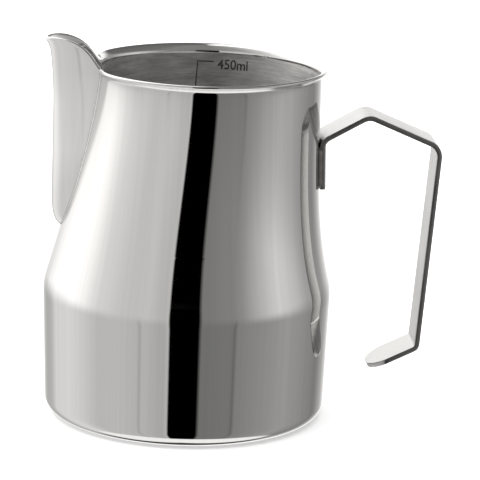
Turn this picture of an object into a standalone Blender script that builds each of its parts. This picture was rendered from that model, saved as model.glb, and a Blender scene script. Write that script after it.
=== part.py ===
"""Milk frothing pitcher: a drawn steel jug, a welded-in spout and a bent strip handle.

The frame: the origin is the middle of the face that the jug stands on, +Z is up, +X points to the
handle and -X to the spout, so the plane y = 0 is the pitcher's plane of symmetry.
The sizes are in millimetres and are turned into metres as each mesh is made.
"""

from math import asin, atan2, ceil, cos, exp, pi, radians, sin, sqrt, tan

import bmesh
import bpy
from mathutils import Vector

MM = 0.001

# Sheet metal
SHEET = 1.0                # wall of the jug and of the spout
GAP = 0.3                  # clearance left between neighbouring pieces

# Jug: round at every height, but its axis drifts towards the handle above the shoulder
BASE_RADIUS = 41.5
BASE_CORNER = 4.5          # radius between the base and the wall
SHOULDER_HEIGHT = 38.8
SHOULDER_RADIUS = 42.7     # where the straight wall and the cone would meet
SHOULDER_REACH = 3.0       # half the height over which the shoulder is rounded
NECK_HEIGHT = 102.0
NECK_BACK = 37.8           # distance from the base's axis to the neck, on the handle side
NECK_FRONT = 28.2          # and on the spout side
BACK_POWER = 3.75          # how fast the handle side straightens up towards the neck
FRONT_POWER = 1.28         # and the spout side
RIM_BEND = 1.9             # outer radius of the flared rim
RIM_ANGLE = radians(68)    # how far the rim is turned out
RIM_FLAT = 0.6             # straight edge of the rim past the bend
NECK_FLATTENING = 1.7      # the mouth is drawn in a little beside the spout, at the neck
RIM_FLATTENING = 2.9       # and at the rim
FLAT_WITHIN = radians(10)  # full flattening this close to the spout
ROUND_BEYOND = radians(40) # and none beyond this angle

# Spout: a channel with a rounded V section, set into a U-shaped notch
SPOUT_HALF_WIDTH = 8.2
SPOUT_BOTTOM = 56.0
SPOUT_ROUND = 24.0         # height over which the notch narrows to its bottom
SPOUT_NOSE = 1.8           # 1 would give it an elliptical section, 2 a parabolic one
RIDGE = 40.6               # distance from the base's axis to the spout's front line
RIDGE_FOOT_DEPTH = 2.6     # the front line runs into the jug at the bottom
RIDGE_FOOT_HEIGHT = 2.2
RIDGE_LEAN_START = 92.0
RIDGE_LEAN_HEIGHT = 13.0
RIDGE_LEAN = 0.7
TIP_CURL_START = 107.5
TIP_CURL_HEIGHT = 4.5
TIP_CURL = 1.46
LIP_CREST = 112.45         # highest line of the pouring lip
LIP_DROP = 13.4            # how far the lip falls away from its crest
LIP_CREST_AT = 0.8         # where the crest is, from the jug (0) to the tip (1)

# Handle: a flat strip bent round the finger space
STRIP = 1.5
STRIP_WIDTH = 15.0
HANDLE_BENDS = [           # (x, z, bend radius) of the face towards the fingers
    (None, 69.3, 0.0),     # foot of the welded tab
    (None, 83.2, 2.5),     # tab to rising arm
    (51.6, 90.4, 3.5),     # top of the handle
    (72.1, 81.8, 3.5),     # arm to grip
    (67.8, 22.0, 1.2),     # grip to foot
    (54.1, 15.4, 0.0),     # free end
]
HANDLE_END_RADIUS = 6.5
STRIP_SPANS = 6            # facets across the strip, which is hollowed to fit the jug at its tab

# Welds
BEAD = 0.8                 # width of the seam between the jug and the spout
BEAD_TOP = 104.0
TAB_WELD_LEG = 1.1         # size of the fillets along the handle's tab
TAB_WELD_MARGIN = 1.5      # they stop this far from the tab's ends

# Fineness of the meshes
STEPS_AROUND = 64
BASE_RINGS = (0.05, 0.6)   # rings inside the flat base, as shares of its radius
CORNER_STEPS = 5
WALL_STEPS = 3
SHOULDER_STEPS = 4
CONE_STEPS = 11
RIM_STEPS = 4
SPOUT_LEVELS = 18
SPOUT_LEVEL_POWER = 1.4    # the spout's rings are closer together at its rounded bottom
SPOUT_STEPS = 20
SEAM_STEPS = (6, 28)       # along each straight side of the seam, and round its bottom
NOTCH_STEPS = (2, 24)
END_STEPS = 8
TAB_WELD_STEPS = 4
BEND_STEP = radians(12)
CUTTER_REACH = 70.0        # the notch cutter starts this far from the axis, outside the spout


def clear_scene():
    for existing in list(bpy.data.objects):
        bpy.data.objects.remove(existing, do_unlink=True)


def steel(name, colour, roughness):
    material = bpy.data.materials.new(name)
    material.use_nodes = True
    shader = material.node_tree.nodes["Principled BSDF"]
    shader.inputs["Base Color"].default_value = (*colour, 1.0)
    shader.inputs["Roughness"].default_value = roughness
    shader.inputs["Metallic"].default_value = 1.0
    return material


def add_object(name, rings, faces, material=None, closed=True):
    """Make a mesh object from rows of points in millimetres and faces of point numbers."""
    mesh = bpy.data.meshes.new(name)
    points = [Vector(point) * MM for ring in rings for point in ring]
    mesh.from_pydata(points, [], faces)
    if closed:
        outward = bmesh.new()
        outward.from_mesh(mesh)
        bmesh.ops.recalc_face_normals(outward, faces=outward.faces)
        outward.to_mesh(mesh)
        outward.free()
    result = bpy.data.objects.new(name, mesh)
    bpy.context.scene.collection.objects.link(result)
    if material:
        mesh.materials.append(material)
    return result


def loop_faces(ring_count, ring_size, closed_rings, capped):
    """Faces that join rings of equal size; the first and last ring may be capped."""
    faces = []
    spans = ring_size if closed_rings else ring_size - 1
    for row in range(ring_count - 1):
        for column in range(spans):
            following = (column + 1) % ring_size
            faces.append((row * ring_size + column, row * ring_size + following,
                          (row + 1) * ring_size + following, (row + 1) * ring_size + column))
    if capped:
        faces.append(tuple(range(ring_size)))
        faces.append(tuple((ring_count - 1) * ring_size + i for i in range(ring_size)))
    return faces


def steps(first, last, count):
    return [first + (last - first) * i / count for i in range(count + 1)]


# ---------------------------------------------------------------- the jug's outer surface

def ramp(height):
    """Zero below the shoulder, then rising one to one, with a rounded start."""
    above = height - SHOULDER_HEIGHT
    if above <= -SHOULDER_REACH:
        return 0.0
    if above >= SHOULDER_REACH:
        return above
    return (above + SHOULDER_REACH) ** 2 / (4 * SHOULDER_REACH)


def side_distance(height, neck_distance, power):
    """From the base's axis to one side of the jug: wall, rounded shoulder, then a curve to the neck."""
    height = min(height, NECK_HEIGHT)
    wall_slope = (SHOULDER_RADIUS - BASE_RADIUS) / SHOULDER_HEIGHT
    drop = SHOULDER_RADIUS - neck_distance
    cone_slope = power * drop / (NECK_HEIGHT - SHOULDER_HEIGHT)
    rise = cone_share(height)
    wall = BASE_RADIUS + wall_slope * height
    straight_cone = wall - (cone_slope + wall_slope) * ramp(height)
    return straight_cone + drop * ((1 - rise) ** power - 1 + power * rise)


def cone_share(height):
    """How far up the cone a height is, from the shoulder (0) to the neck (1)."""
    return min(1.0, max(0.0, (height - SHOULDER_HEIGHT) / (NECK_HEIGHT - SHOULDER_HEIGHT)))


def section(height):
    """Radius, centre and flattening of the jug at a height between its base corner and its neck."""
    back = side_distance(height, NECK_BACK, BACK_POWER)
    front = side_distance(height, NECK_FRONT, FRONT_POWER)
    flattening = NECK_FLATTENING * cone_share(height) ** 2
    radius = (back + front + flattening) / 2
    return radius, back - radius, flattening


def flattened(radius, flattening, angle):
    """The distance from the centre to the jug at an angle, less beside the spout."""
    from_spout = abs(pi - angle % (2 * pi))
    share = min(1.0, max(0.0, (ROUND_BEYOND - from_spout) / (ROUND_BEYOND - FLAT_WITHIN)))
    return radius - flattening * share ** 3 * (10 - 15 * share + 6 * share ** 2)


def ring_point(radius, centre, flattening, angle, height):
    reach = flattened(radius, flattening, angle)
    return centre + reach * cos(angle), reach * sin(angle), height


def front_x(height, y, inset=0.0):
    """x of the jug's surface at the spout side, for a height and a y."""
    radius, centre, flattening = section(height)
    angle = pi
    for _ in range(6):
        reach = flattened(radius, flattening, angle) - inset
        angle = pi - asin(y / reach)
    return centre + reach * cos(angle)


def back_x(height, y):
    radius, centre, _ = section(height)
    return centre + sqrt(radius ** 2 - y ** 2)


def jug_stations():
    """(radius, centre, flattening, height) of each ring, from the middle of the base to the rim."""
    flat_radius = BASE_RADIUS - BASE_CORNER
    stations = [(flat_radius * share, 0.0, 0.0, 0.0) for share in BASE_RINGS]
    for angle in steps(0.0, pi / 2, CORNER_STEPS):
        stations.append((flat_radius + BASE_CORNER * sin(angle), 0.0, 0.0,
                         BASE_CORNER * (1 - cos(angle))))
    shoulder_low = SHOULDER_HEIGHT - SHOULDER_REACH
    shoulder_high = SHOULDER_HEIGHT + SHOULDER_REACH
    heights = steps(BASE_CORNER, shoulder_low, WALL_STEPS)[1:]
    heights += steps(shoulder_low, shoulder_high, SHOULDER_STEPS)[1:]
    heights += steps(shoulder_high, NECK_HEIGHT, CONE_STEPS)[1:]
    stations += [(*section(height), height) for height in heights]
    stations += [rim_station(angle, 0.0) for angle in steps(0.0, RIM_ANGLE, RIM_STEPS)[1:]]
    stations.append(rim_station(RIM_ANGLE, RIM_FLAT))
    return stations


def rim_station(angle, past_bend):
    """A ring of the flared rim, at an angle of its bend or on the straight edge past it."""
    neck_radius, centre, _ = section(NECK_HEIGHT)
    radius = neck_radius + RIM_BEND * (1 - cos(angle)) + past_bend * sin(angle)
    height = NECK_HEIGHT + RIM_BEND * sin(angle) + past_bend * cos(angle)
    flattening = NECK_FLATTENING + (RIM_FLATTENING - NECK_FLATTENING) * angle / RIM_ANGLE
    return radius, centre, flattening, height


# ---------------------------------------------------------------- the notch for the spout

def notch_half_width(height, grow=0.0):
    """Half the width of the U-shaped notch, grown outwards by a margin."""
    below = SPOUT_BOTTOM + SPOUT_ROUND - height
    if below <= 0:
        return SPOUT_HALF_WIDTH + grow
    share = min(1.0, below / (SPOUT_ROUND + grow))
    return (SPOUT_HALF_WIDTH + grow) * sqrt(1 - share ** 2)


def notch_path(grow, top, fineness):
    """(y, z) points down one side of the notch, round its bottom and up the other side."""
    straight_steps, round_steps = fineness
    centre = SPOUT_BOTTOM + SPOUT_ROUND
    side = [(-(SPOUT_HALF_WIDTH + grow), height) for height in steps(top, centre, straight_steps)]
    bottom = [(-(SPOUT_HALF_WIDTH + grow) * cos(angle), centre - (SPOUT_ROUND + grow) * sin(angle))
              for angle in steps(0.0, pi, round_steps)[1:-1]]
    return side + bottom + [(-y, z) for y, z in reversed(side)]


# ---------------------------------------------------------------- pieces

def make_jug_body(material):
    rings = [[ring_point(*station[:3], 2 * pi * i / STEPS_AROUND, station[3])
              for i in range(STEPS_AROUND)] for station in jug_stations()]
    faces = loop_faces(len(rings), STEPS_AROUND, True, False)
    faces.append(tuple(reversed(range(STEPS_AROUND))))
    body = add_object("jug_body", rings, faces, material, closed=False)

    wall = body.modifiers.new("sheet", "SOLIDIFY")
    wall.thickness = SHEET * MM
    wall.offset = -1.0
    wall.use_even_offset = True

    outline = notch_path(BEAD + 2 * GAP, LIP_CREST, NOTCH_STEPS)
    rings = [[(-CUTTER_REACH, y, z) for y, z in outline], [(-GAP, y, z) for y, z in outline]]
    cutter = add_object("notch_cutter", rings, loop_faces(2, len(outline), True, True))
    cutter.hide_render = True
    cutter.display_type = "WIRE"
    notch = body.modifiers.new("notch", "BOOLEAN")
    notch.operation = "DIFFERENCE"
    notch.solver = "EXACT"
    notch.object = cutter
    return body


def ridge_distance(height):
    """From the base's axis to the front line of the spout."""
    distance = RIDGE - RIDGE_FOOT_DEPTH * exp((SPOUT_BOTTOM - height) / RIDGE_FOOT_HEIGHT)
    lean = max(0.0, height - RIDGE_LEAN_START) / RIDGE_LEAN_HEIGHT
    curl = max(0.0, height - TIP_CURL_START) / TIP_CURL_HEIGHT
    return distance + RIDGE_LEAN * lean ** 2 + TIP_CURL * curl ** 2


def lip_height(outward):
    """Height of the pouring lip, from the jug (0) out to the tip (1)."""
    return LIP_CREST - LIP_DROP * (outward - LIP_CREST_AT) ** 2


def spout_point(share, angle, inset):
    """A point of the spout's sheet: its outer face for inset 0, its inner face for one sheet."""
    outward = sin(angle) ** SPOUT_NOSE
    bottom = SPOUT_BOTTOM + inset + GAP
    height = bottom + (lip_height(outward) - bottom) * share
    half_width = notch_half_width(height, -inset)
    start = front_x(height, half_width, inset)
    depth = ridge_distance(height) - inset + start
    return start - depth * outward, -half_width * cos(angle), height


def make_spout(material):
    levels = [share ** SPOUT_LEVEL_POWER for share in steps(0.0, 1.0, SPOUT_LEVELS)]
    angles = steps(0.0, pi, SPOUT_STEPS)
    rings = []
    for share in levels:
        outer = [spout_point(share, angle, 0.0) for angle in angles]
        inner = [spout_point(share, angle, SHEET) for angle in reversed(angles)]
        rings.append(outer + inner)
    ring_size = len(rings[0])
    faces = loop_faces(len(rings), ring_size, True, False)
    for row in (0, len(rings) - 1):
        first = row * ring_size
        for i in range(len(angles) - 1):
            faces.append((first + i, first + i + 1,
                          first + ring_size - 2 - i, first + ring_size - 1 - i))
    return add_object("spout", rings, faces, material)


def make_spout_weld(material):
    near = notch_path(GAP, BEAD_TOP, SEAM_STEPS)
    far = notch_path(GAP + BEAD, BEAD_TOP, SEAM_STEPS)
    rings = []
    for (y1, z1), (y2, z2) in zip(near, far):
        rings.append([(front_x(z1, y1), y1, z1), (front_x(z2, y2), y2, z2),
                      (front_x(z2, y2, SHEET), y2, z2), (front_x(z1, y1, SHEET), y1, z1)])
    return add_object("spout_weld", rings, loop_faces(len(rings), 4, True, True), material)


def tab_face(height):
    """x of the tab's finger side along its edges, where it follows the round jug."""
    return back_x(height, STRIP_WIDTH / 2) + GAP + STRIP


def handle_corners():
    """The bend list, with the tab laid against the back of the jug."""
    return [(Vector((tab_face(z) if x is None else x, z)), radius) for x, z, radius in HANDLE_BENDS]


def handle_line():
    """(point, normal, hollow) along the strip's finger side, with an arc at each bend.

    hollow is 1 where the strip is curved across to fit the jug, and 0 where it is flat.
    """
    corners = handle_corners()
    first_run = (corners[1][0] - corners[0][0]).normalized()
    line = [(corners[0][0], Vector((-first_run.y, first_run.x)), 1.0)]
    for i in range(1, len(corners) - 1):
        corner, radius = corners[i]
        before = (corner - corners[i - 1][0]).normalized()
        after = (corners[i + 1][0] - corner).normalized()
        turn = before.angle(after)
        outward = Vector((-before.y, before.x))
        centre = corner - before * radius * tan(turn / 2) - outward * radius
        first = atan2(outward.y, outward.x)
        for turned in steps(0.0, turn, ceil(turn / BEND_STEP)):
            normal = Vector((cos(first - turned), sin(first - turned)))
            hollow = cos(pi / 2 * turned / turn) if i == 1 else 0.0
            line.append((centre + normal * radius, normal, hollow))
    last_run = (corners[-1][0] - corners[-2][0]).normalized()
    line.append((corners[-1][0], Vector((-last_run.y, last_run.x)), 0.0))
    return line


def strip_stations():
    """(point, normal, hollow, half width) along the strip; it narrows to a round free end."""
    line = handle_line()
    end, normal, _ = line[-1]
    along = (end - line[-2][0]).normalized()
    stations = [(*station, STRIP_WIDTH / 2) for station in line[:-1]]
    for angle in steps(0.0, pi / 2, END_STEPS):
        back = HANDLE_END_RADIUS * (1 - sin(angle))
        half_width = STRIP_WIDTH / 2 - HANDLE_END_RADIUS * (1 - cos(angle))
        stations.append((end - along * back, normal, 0.0, half_width))
    return stations


def make_handle(material):
    jug_radius = section(HANDLE_BENDS[1][1])[0]
    edge_sag = jug_radius - sqrt(jug_radius ** 2 - (STRIP_WIDTH / 2) ** 2)
    rings = []
    for point, normal, hollow, half_width in strip_stations():
        inner = []
        outer = []
        for y in steps(-half_width, half_width, STRIP_SPANS):
            sag = jug_radius - sqrt(jug_radius ** 2 - y ** 2)
            face = point - normal * hollow * (edge_sag - sag)
            back = face + normal * STRIP
            inner.append((face.x, y, face.y))
            outer.append((back.x, y, back.y))
        rings.append(inner + outer[::-1])
    return add_object("handle", rings, loop_faces(len(rings), len(rings[0]), True, True), material)


def make_handle_weld(name, side, material):
    """A fillet between the tab's edge and the jug."""
    foot = HANDLE_BENDS[0][1] + TAB_WELD_MARGIN
    head = HANDLE_BENDS[1][1] - TAB_WELD_MARGIN
    root = STRIP_WIDTH / 2 + GAP
    toe = root + TAB_WELD_LEG
    rings = []
    for height in steps(foot, head, TAB_WELD_STEPS):
        rings.append([(back_x(height, root) + GAP, side * root, height),
                      (back_x(height, root) + GAP + TAB_WELD_LEG, side * root, height),
                      (back_x(height, toe) + GAP, side * toe, height)])
    return add_object(name, rings, loop_faces(len(rings), 3, True, True), material)


def main():
    clear_scene()
    pieces = [
        make_jug_body(steel("polished_steel", (0.72, 0.71, 0.70), 0.06)),
        make_spout(steel("polished_spout_steel", (0.71, 0.70, 0.69), 0.12)),
        make_handle(steel("satin_strip_steel", (0.66, 0.65, 0.64), 0.32)),
        make_spout_weld(steel("ground_weld_steel", (0.62, 0.61, 0.60), 0.25)),
        make_handle_weld("handle_weld_left", 1, steel("left_fillet_steel", (0.58, 0.57, 0.56), 0.35)),
        make_handle_weld("handle_weld_right", -1, steel("right_fillet_steel", (0.58, 0.57, 0.56), 0.35)),
    ]
    for piece in pieces:
        piece.data.shade_smooth()
        piece.data.set_sharp_from_angle(angle=radians(30))


main()
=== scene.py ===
"""Looks of the milk frothing pitcher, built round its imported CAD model.

Every sheet piece is a fine mesh on the same surfaces as its CAD node. Sizes are in millimetres and
turned into metres as each mesh is made; the frame is the CAD's: +Z up, +X to the handle, -X to the
spout, and the origin in the middle of the base.
"""

import bmesh
import bpy
import numpy as np
from mathutils import Matrix, Vector


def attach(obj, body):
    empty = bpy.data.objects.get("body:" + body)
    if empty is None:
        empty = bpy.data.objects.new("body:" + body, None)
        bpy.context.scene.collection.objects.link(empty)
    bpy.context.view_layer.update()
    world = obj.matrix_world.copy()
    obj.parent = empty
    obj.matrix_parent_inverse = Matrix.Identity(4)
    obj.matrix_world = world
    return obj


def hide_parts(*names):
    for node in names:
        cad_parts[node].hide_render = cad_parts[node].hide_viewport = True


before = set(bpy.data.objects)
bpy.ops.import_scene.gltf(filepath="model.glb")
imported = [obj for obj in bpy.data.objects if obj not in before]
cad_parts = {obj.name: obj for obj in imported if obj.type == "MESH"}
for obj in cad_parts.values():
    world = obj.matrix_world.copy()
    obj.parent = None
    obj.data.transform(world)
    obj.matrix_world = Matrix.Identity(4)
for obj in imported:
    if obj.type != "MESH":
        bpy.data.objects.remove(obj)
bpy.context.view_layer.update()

MM = 0.001

# ---------------------------------------------------------------- sizes of the sheet metal

SHEET = 1.0
EDGE_ROUND = SHEET / 2      # rims and lips are polished to a half round

BASE_CORNER = 4.5
WALL_LEAN = np.radians(1.76)
BASE_RADIUS = 41.5
SHOULDER_HEIGHT = 38.8
SHOULDER_RADIUS = 42.7
SHOULDER_REACH = 3.0
NECK_HEIGHT = 102.0
NECK_BACK = 37.8
NECK_FRONT = 28.2
BACK_POWER = 3.75           # at 1 that side of the cone is straight; above, it is hollow
FRONT_POWER = 1.28
RIM_BEND = 1.9
RIM_ANGLE = np.radians(68)
RIM_FLAT = 0.6
RIM_SINK = 0.25             # beside the spout the rim is this share lower, and no longer flared
RIM_FADE = np.radians(7)    # angle over which the flare fades out there
NECK_FLATTENING = 1.7       # beside the spout the neck is this much flatter than round
FLAT_WITHIN = np.radians(10)        # fully within this angle of the spout
ROUND_BEYOND = np.radians(40)       # and not at all beyond this one

SPOUT_HALF_WIDTH = 8.2
SPOUT_BOTTOM = 56.0
SPOUT_ROUND = 24.0
SPOUT_NOSE = 1.8            # 1 would give it an elliptical section, 2 a parabolic one
RIDGE = 40.6                # from the base's axis to the spout's front ridge
RIDGE_FOOT_DEPTH = 2.6      # the ridge draws in this much towards its foot
RIDGE_FOOT_HEIGHT = 2.2
RIDGE_LEAN_START = 92.0
RIDGE_LEAN_HEIGHT = 13.0
RIDGE_LEAN = 0.7            # higher up it leans out, and near the tip it curls out
TIP_CURL_START = 107.5
TIP_CURL_HEIGHT = 4.5
TIP_CURL = 1.46
LIP_CREST = 112.45
LIP_DROP = 13.4             # how steeply the lip falls from its crest
LIP_CREST_AT = 0.8          # share of the spout's depth at which it is highest
LIP_BLEND = 0.09            # share of the spout's depth over which the rim turns up into the lip

SEAM_FILLET = 0.45          # the ground weld fills the outer corner of the seam
SEAM_ROUND = 0.45           # and rounds its inner corner
SEAM_BLEND = 4.0            # over this height its top rises to meet the lip
FILLET_SHARE = 0.45         # neither takes up more than this share of the spout's depth

STRIP = 1.5
STRIP_WIDTH = 15.0
STRIP_CORNER = 0.16         # the strip's edges are eased
HANDLE_BENDS = [            # (x, z, bend radius) of the face towards the fingers
    (None, 69.3, 0.0),
    (None, 83.2, 2.5),
    (51.6, 90.4, 3.5),
    (72.1, 81.8, 3.5),
    (67.8, 22.0, 1.2),
    (54.1, 15.4, 0.0),
]
HANDLE_END_RADIUS = 6.5
TAB_GAP = 0.3
TAB_WELD_LEG = 1.35         # size of the fillets along the handle's tab
TAB_WELD_FOOT = 0.3         # how far they stop from the tab's ends
TAB_WELD_HEAD = 1.4
TAB_WELD_BITE = 0.3         # how far they reach under the strip's edge
TAB_WELD_SINK = 0.05        # and into the jug
TAB_WELD_TURN = -0.35       # radians by which its section is carried on along both surfaces
TAB_WELD_UNEVEN = 0.04      # share by which its size wavers
TAB_WELD_WAVES = 19.0
TAB_WELD_TIP = 0.05         # share of its size left at its very ends

NOTCH_KEEP = 0.3            # near the notch's foot its inner edge keeps this share of the width

CORNER_TURN = np.pi / 2 - WALL_LEAN
CORNER_TOP = BASE_CORNER * (1 - np.cos(CORNER_TURN))
NOTCH_ROUND_TOP = SPOUT_BOTTOM + SPOUT_ROUND

# ---------------------------------------------------------------- fineness of the meshes

ANGLE_TRIES = 6             # the angle at a half width is worked out over and over this often
AROUND = 288                # columns round the jug
BASE_RINGS = (0.02, 0.3, 0.6, 0.8, 0.93, 0.98)      # shares of the flat base's radius
CORNER_STEPS = 14           # rings up each stretch of the jug's profile
WALL_STEPS = 16
SHOULDER_STEPS = 20
CONE_STEPS = 14
NOTCH_FOOT_STEPS = 56
NOTCH_SIDE_STEPS = 26
RIM_STEPS = 14
EDGE_STEPS = 6              # round every rounded sheet edge
ACROSS_SPOUT = 72
UP_SPOUT = 110
SPOUT_CROWDING = 1.5        # above 1 the rows are closer together near the spout's foot
SPOUT_FIRST = 0.005         # the spout's foot is cut off this little above its tip
SEAM_SIDE_STEPS = 40        # down each straight side of the seam
SEAM_FOOT_STEPS = 140       # and round its foot
ACROSS_SEAM = 8
RUN_STEPS = 10              # along each straight run of the handle
BEND_STEPS = 16             # and round each of its bends
FREE_END_STEPS = 20
STRIP_FACE_STEPS = 12       # across the strip's wide faces
STRIP_CORNER_STEPS = 5      # round the edges along it
STRIP_END_STEPS = 4         # and round the edges of its ends
TAB_WELD_RINGS = 90
TAB_WELD_STEPS = 10
POINT_MERGE = 1e-7          # points this near each other, in metres, are the same
EDGE_VANISH = 1e-8


def steps(first, last, count):
    return np.linspace(first, last, count + 1)


def smooth(share):
    """0 up to share 0, 1 from share 1, and a smooth rise between them."""
    share = np.clip(share, 0.0, 1.0)
    return share ** 3 * (10 - 15 * share + 6 * share ** 2)


# ---------------------------------------------------------------- the jug's surface

def ramp(height):
    """0 below the shoulder and the height above it higher up, rounded over the shoulder's reach."""
    above = height - SHOULDER_HEIGHT
    rounded = (np.clip(above, -SHOULDER_REACH, SHOULDER_REACH) + SHOULDER_REACH) ** 2
    return rounded / (4 * SHOULDER_REACH) + np.maximum(above - SHOULDER_REACH, 0.0)


def side_distance(height, neck_distance, power):
    """From the base's axis to one side of the jug: wall, rounded shoulder, then a curve to the neck."""
    height = np.minimum(height, NECK_HEIGHT)
    rise = cone_share(height)
    wall_slope = (SHOULDER_RADIUS - BASE_RADIUS) / SHOULDER_HEIGHT
    drop = SHOULDER_RADIUS - neck_distance
    cone_slope = power * drop / (NECK_HEIGHT - SHOULDER_HEIGHT)
    straight_cone = BASE_RADIUS + wall_slope * height - (cone_slope + wall_slope) * ramp(height)
    return straight_cone + drop * ((1 - rise) ** power - 1 + power * rise)


def cone_share(height):
    return np.clip((height - SHOULDER_HEIGHT) / (NECK_HEIGHT - SHOULDER_HEIGHT), 0.0, 1.0)


def section(height):
    """Radius, centre and flattening of the jug's outside at a height on its wall."""
    back = side_distance(height, NECK_BACK, BACK_POWER)
    front = side_distance(height, NECK_FRONT, FRONT_POWER)
    flattening = NECK_FLATTENING * cone_share(height) ** 2
    radius = (back + front + flattening) / 2
    return radius, back - radius, flattening


def from_spout(angle):
    """The angle between a direction and the spout's."""
    return np.abs(np.pi - np.mod(angle, 2 * np.pi))


def flattened(radius, flattening, angle):
    """The radius in a direction, which is less near the spout's."""
    return radius - flattening * smooth((ROUND_BEYOND - from_spout(angle)) / (ROUND_BEYOND - FLAT_WITHIN))


def notch_half_width(height):
    """Half the width of the opening for the spout, which is round at its foot."""
    below = np.clip((NOTCH_ROUND_TOP - height) / SPOUT_ROUND, 0.0, 1.0)
    return SPOUT_HALF_WIDTH * np.sqrt(1 - below ** 2)


def inner_notch_half_width(height):
    """The same on the inner face of the wall, where the sheet of the spout starts further in."""
    half_width = notch_half_width(height)
    return np.maximum(half_width - SHEET + SEAM_ROUND, NOTCH_KEEP * half_width)


def wall_angle(height, half_width, inset):
    """The angle at which the wall is half_width to the -Y side of the plane of symmetry."""
    radius, _, flattening = section(height)
    angle = np.full_like(np.asarray(height, float), np.pi)
    for _ in range(ANGLE_TRIES):
        reach = flattened(radius, flattening, angle) - inset
        angle = np.pi + np.arcsin(half_width / reach)
    return angle


def wall_point(height, y, inset):
    """A point of the wall on the spout's side, at a height and a y."""
    radius, centre, flattening = section(height)
    angle = wall_angle(height, -y, inset)
    reach = flattened(radius, flattening, angle) - inset
    return np.stack([centre + reach * np.cos(angle), reach * np.sin(angle), height + 0 * y], -1)


def rim_fade(angle):
    """0 at the notch's edge, where the rim is not flared, and 1 where it is in full."""
    notch_edge = np.arcsin(SPOUT_HALF_WIDTH / (section(NECK_HEIGHT)[0] - NECK_FLATTENING))
    return smooth((from_spout(angle) - notch_edge) / RIM_FADE)


def jug_surface(level, angle, inset):
    """A point of the jug. The level's whole part is the stretch of its profile:

    0 base, 1 corner, 2 wall, shoulder and cone, 3 bend of the rim, 4 straight edge of the rim.
    """
    stretch = [np.clip(level - start, 0.0, 1.0) for start in range(5)]
    turn = stretch[1] * CORNER_TURN
    flat_radius = section(CORNER_TOP)[0] - BASE_CORNER * np.sin(CORNER_TURN)
    low_radius = stretch[0] * flat_radius + (BASE_CORNER - inset) * np.sin(turn)
    low_height = BASE_CORNER - (BASE_CORNER - inset) * np.cos(turn)

    wall_height = CORNER_TOP + stretch[2] * (NECK_HEIGHT - CORNER_TOP)
    wall_radius, centre, flattening = section(wall_height)

    bend = stretch[3] * RIM_ANGLE
    past = stretch[4] * (RIM_FLAT - EDGE_ROUND)
    fade = rim_fade(angle)
    flare = fade * ((RIM_BEND + inset) * (1 - np.cos(bend)) + past * np.sin(bend))
    lift = (RIM_BEND + inset * fade) * np.sin(bend) + past * np.cos(bend)
    lift = lift * (1 - RIM_SINK * (1 - fade))

    low = level < 2
    radius = np.where(low, low_radius, wall_radius - inset + flare)
    height = np.where(low, low_height, wall_height + lift)
    centre = np.where(low, 0.0, centre)
    reach = flattened(radius, np.where(low, 0.0, flattening), angle)
    return np.stack([centre + reach * np.cos(angle), reach * np.sin(angle), height + 0 * angle], -1)


def jug_levels():
    """Levels of the rings: closest together where the profile or the notch's outline bends most."""
    shoulder_low = SHOULDER_HEIGHT - SHOULDER_REACH
    shoulder_high = SHOULDER_HEIGHT + SHOULDER_REACH
    heights = np.concatenate([
        steps(CORNER_TOP, shoulder_low, WALL_STEPS)[1:],
        steps(shoulder_low, shoulder_high, SHOULDER_STEPS)[1:],
        steps(shoulder_high, SPOUT_BOTTOM, CONE_STEPS)[1:],
        NOTCH_ROUND_TOP - SPOUT_ROUND * np.cos(steps(0.0, np.pi / 2, NOTCH_FOOT_STEPS))[1:],
        steps(NOTCH_ROUND_TOP, NECK_HEIGHT, NOTCH_SIDE_STEPS)[1:],
    ])
    wall = 2 + (heights - CORNER_TOP) / (NECK_HEIGHT - CORNER_TOP)
    return np.concatenate([BASE_RINGS, steps(1, 2, CORNER_STEPS), wall, steps(3, 4, RIM_STEPS)[1:], [5.0]])


# ---------------------------------------------------------------- the spout's surface

def ridge_distance(height):
    """From the base's axis to the spout's ridge."""
    distance = RIDGE - RIDGE_FOOT_DEPTH * np.exp((SPOUT_BOTTOM - height) / RIDGE_FOOT_HEIGHT)
    lean = np.maximum(0.0, height - RIDGE_LEAN_START) / RIDGE_LEAN_HEIGHT
    curl = np.maximum(0.0, height - TIP_CURL_START) / TIP_CURL_HEIGHT
    return distance + RIDGE_LEAN * lean ** 2 + TIP_CURL * curl ** 2


def lip_height(outward):
    """Height of the spout's edge at a share of its depth; it starts about level with the rim."""
    outward = outward * (1 - np.exp(-outward / LIP_BLEND))
    return LIP_CREST - EDGE_ROUND - LIP_DROP * (outward - LIP_CREST_AT) ** 2


def channel(height, inset):
    """Half width of the spout's channel, x of its start on the wall, and its depth."""
    below = np.clip((NOTCH_ROUND_TOP - height) / (SPOUT_ROUND - inset), 0.0, 1.0)
    half_width = (SPOUT_HALF_WIDTH - inset) * np.sqrt(1 - below ** 2)
    start = wall_point(height, -half_width, inset)[..., 0]
    return half_width, start, ridge_distance(height) - inset + start


def spout_surface(share, angle, inset):
    """A point of the spout: share runs up from its foot to its lip, angle from -Y round to +Y."""
    outward = np.abs(np.sin(angle)) ** SPOUT_NOSE
    foot = SPOUT_BOTTOM + inset
    height = foot + (lip_height(outward) - foot) * share
    half_width, start, depth = channel(height, inset)
    return np.stack([start - depth * outward, -half_width * np.cos(angle), height], -1)


def spout_turn(reach, depth):
    """The angle at which the spout's sheet is a reach away from its start on the jug."""
    return np.arcsin(np.clip(reach / depth, 0.0, FILLET_SHARE) ** (1 / SPOUT_NOSE))


def spout_edge(height, reach, inset, side):
    """A point of the spout's sheet, a reach away from its start on the jug."""
    half_width, start, depth = channel(height, inset)
    reach = np.minimum(reach, FILLET_SHARE * depth)
    return np.stack([start - reach, side * half_width * np.cos(spout_turn(reach, depth)), height], -1)


# ---------------------------------------------------------------- meshes

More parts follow.
